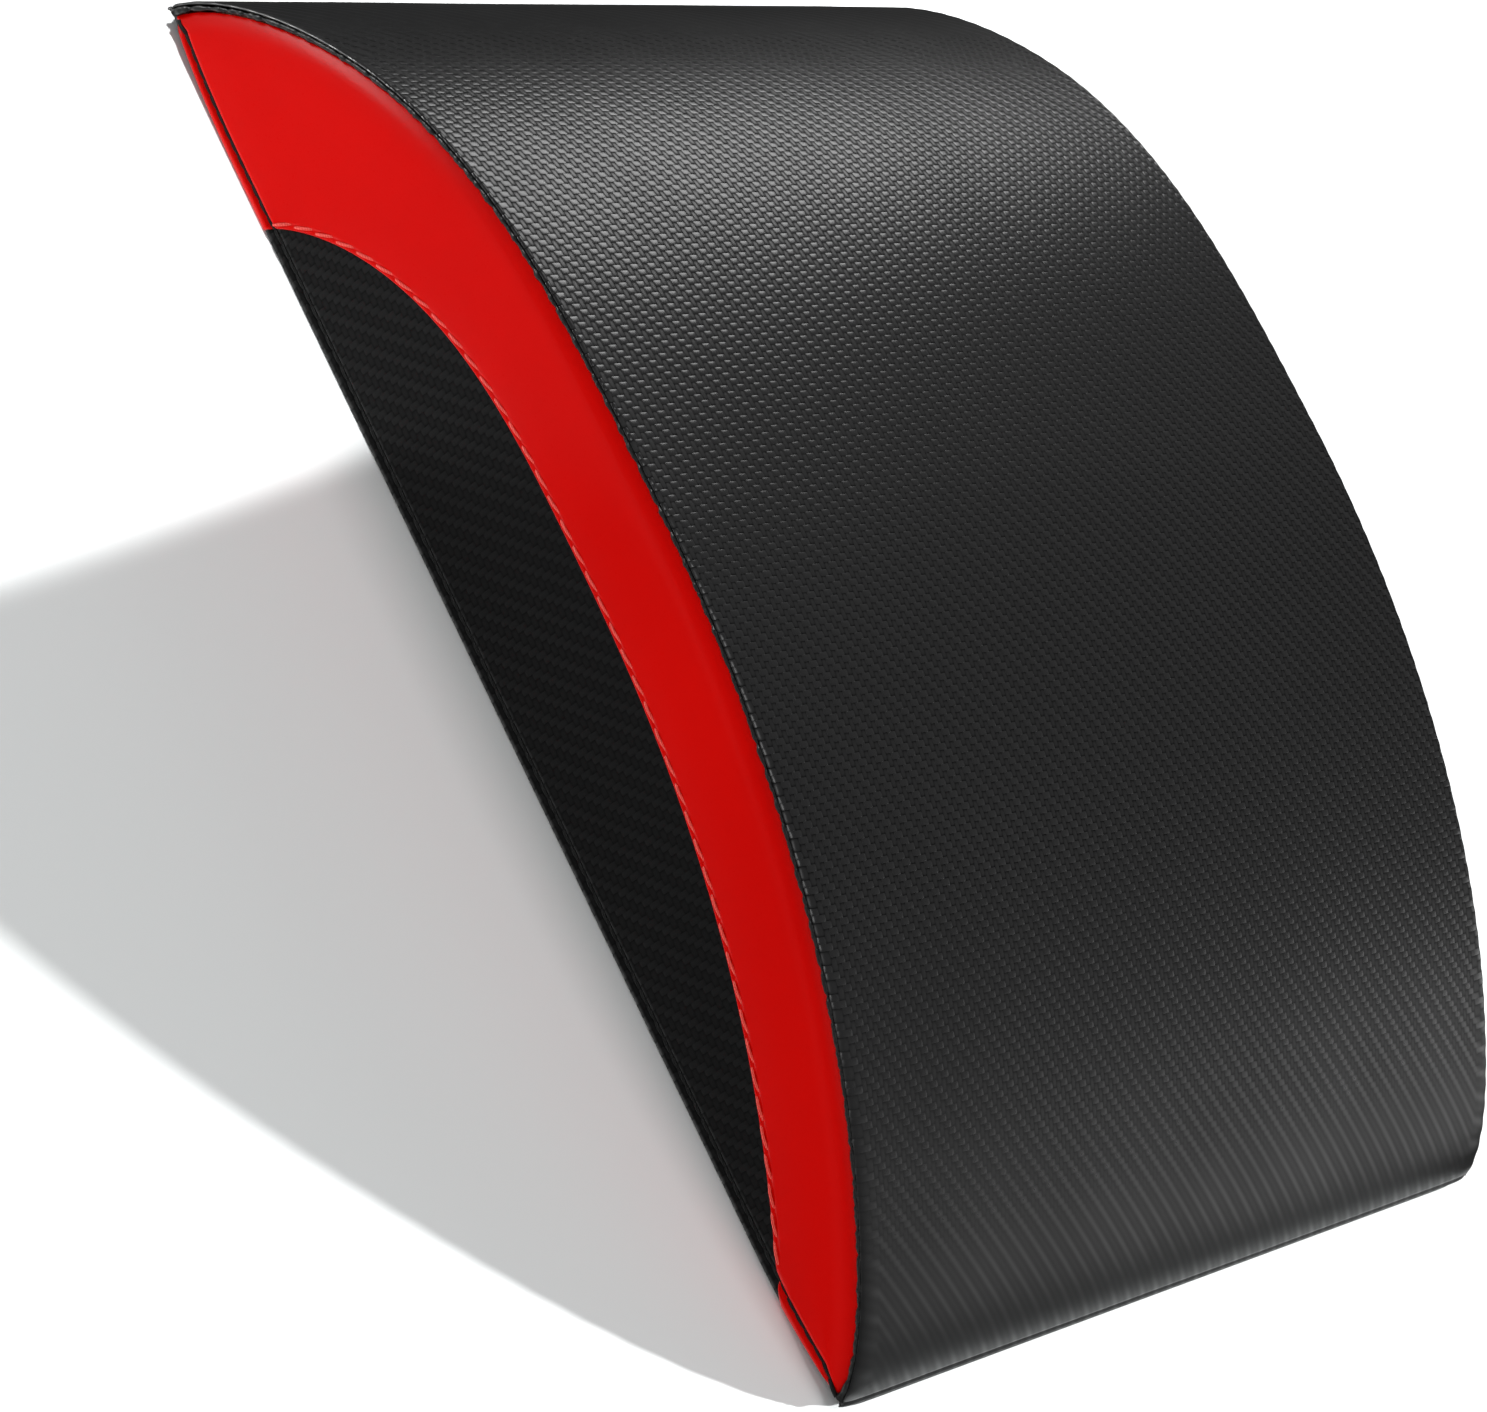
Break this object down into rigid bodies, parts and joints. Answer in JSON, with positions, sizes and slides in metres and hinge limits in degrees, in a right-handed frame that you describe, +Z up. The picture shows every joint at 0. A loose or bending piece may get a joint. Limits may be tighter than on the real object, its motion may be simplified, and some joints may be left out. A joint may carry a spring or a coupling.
{
  "type": "ab mat",
  "caption": "Domed foam sit-up wedge in a sewn vinyl cover with side bands, piping and a zipped base.",
  "frame": {"origin": "centre of the mat's footprint, on the surface it lies on", "axes": "+X along the mat to its thin end, +Y across it to the right side, +Z up"},
  "size_m": [0.38, 0.3038, 0.0707],
  "materials": {
    "foam": "moulded soft foam with a fine skin, matte",
    "woven_vinyl": "black vinyl pressed with a fine twill weave, low sheen",
    "red_vinyl": "smooth red vinyl, glossy",
    "seam_piping": "rolled black vinyl welt, satin",
    "base_fabric": "plain black woven polyester, matte",
    "black_thread": "twisted black polyester sewing thread",
    "red_thread": "twisted red polyester sewing thread",
    "zip_tape": "black herringbone woven tape",
    "zip_teeth": "black nylon, coiled",
    "zip_metal": "cast zinc with a dark nickel finish"
  },
  "bodies": {
    "mat": {"foam_core": "foam", "top_cover": "woven_vinyl", "left_red_band": "red_vinyl", "left_side_panel": "woven_vinyl", "left_seam_piping": "seam_piping", "left_hem_stitch": "black_thread", "left_band_topstitch": "red_thread", "right_red_band": "red_vinyl", "right_side_panel": "woven_vinyl", "right_seam_piping": "seam_piping", "right_hem_stitch": "black_thread", "right_band_topstitch": "red_thread", "base_panel_thin_end": "base_fabric", "base_stitch_thin_end": "black_thread", "zip_tape_thin_end": "zip_tape", "zip_teeth_thin_end": "zip_teeth", "zip_stitch_thin_end": "black_thread", "zip_top_stop_thin_end": "zip_metal", "base_panel_thick_end": "base_fabric", "base_stitch_thick_end": "black_thread", "zip_tape_thick_end": "zip_tape", "zip_teeth_thick_end": "zip_teeth", "zip_stitch_thick_end": "black_thread", "zip_top_stop_thick_end": "zip_metal", "zip_bottom_stop": "zip_metal"},
    "slider": {"zip_slider": "zip_metal"},
    "pull": {"zip_pull": "zip_metal"}
  },
  "joints": [
    {"name": "zip_slide", "type": "slide", "parent": "mat", "child": "slider", "axis": [0, -1, 0], "range_m": [0, 0.258]},
    {"name": "pull_swing", "type": "hinge", "parent": "slider", "child": "pull", "pos_m": [-0.118, 0.1345, 0.003], "axis": [1, 0, 0], "range_deg": [0, 160]}
  ]
}
